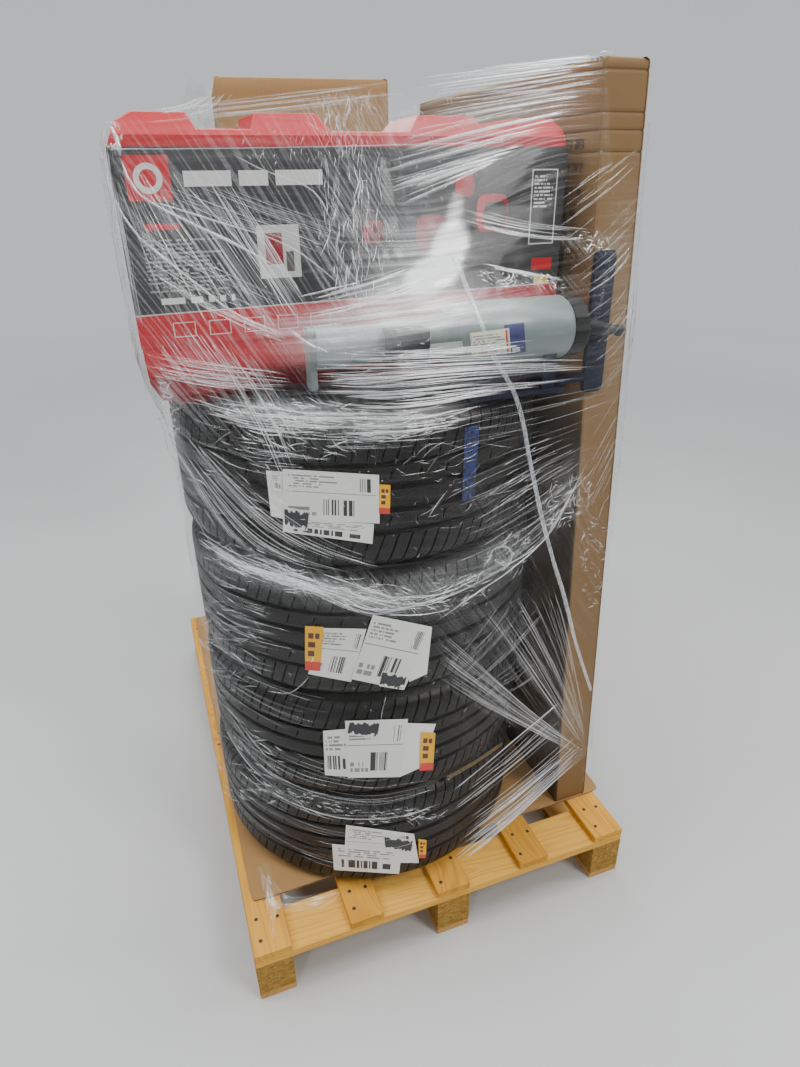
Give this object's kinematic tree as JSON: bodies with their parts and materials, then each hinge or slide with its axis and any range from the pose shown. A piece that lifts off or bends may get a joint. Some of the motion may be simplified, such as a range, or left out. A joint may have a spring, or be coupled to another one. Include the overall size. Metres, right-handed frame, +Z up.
{
  "type": "shrink wrapped pallet load",
  "caption": "Mixed load on a light wooden pallet: flat-stacked tyres, a moulded tool case, a cylindrical machine and cartons, held together by hand-wrapped clear stretch film.",
  "frame": {"origin": "middle of the pallet's footprint, on the floor", "axes": "+Z up; X along the pallet's 800 mm side, left to right; Y along its 1200 mm side, with the front at -Y"},
  "size_m": [0.8288, 1.2, 1.584],
  "materials": {
    "pallet_wood": "sawn",
    "block_wood": "pressed chips",
    "kraft_card": "matte",
    "tyre_rubber": "satin",
    "label_paper": "matte",
    "case_red": "satin",
    "sleeve_card": "printed",
    "machine_paint": "satin",
    "black_plastic": "satin",
    "navy_paint": "satin",
    "clear_film": "clear gloss"
  },
  "bodies": {
    "root": {"deck_board_1": "pallet_wood", "deck_board_2": "pallet_wood", "deck_board_3": "pallet_wood", "deck_board_4": "pallet_wood", "deck_board_5": "pallet_wood", "cross_board_front": "pallet_wood", "cross_board_middle": "pallet_wood", "cross_board_back": "pallet_wood", "bottom_board_left": "pallet_wood", "bottom_board_centre": "pallet_wood", "bottom_board_right": "pallet_wood", "block_front_left": "block_wood", "block_front_centre": "block_wood", "block_front_right": "block_wood", "block_middle_left": "block_wood", "block_middle_centre": "block_wood", "block_middle_right": "block_wood", "block_back_left": "block_wood", "block_back_centre": "block_wood", "block_back_right": "block_wood", "layer_sheet": "kraft_card", "tyre_1": "tyre_rubber", "tyre_2": "tyre_rubber", "tyre_3": "tyre_rubber", "tyre_4": "tyre_rubber", "tyre_label_1": "label_paper", "tyre_label_2": "label_paper", "tyre_label_3": "label_paper", "tyre_label_4": "label_paper", "tool_case": "case_red", "case_sleeve": "sleeve_card", "motor_body": "machine_paint", "motor_lever": "machine_paint", "motor_collar": "black_plastic", "motor_spout": "black_plastic", "terminal_box": "black_plastic", "bracket": "navy_paint", "tall_carton": "kraft_card", "back_carton": "kraft_card", "stretch_film": "clear_film"}
  },
  "joints": []
}
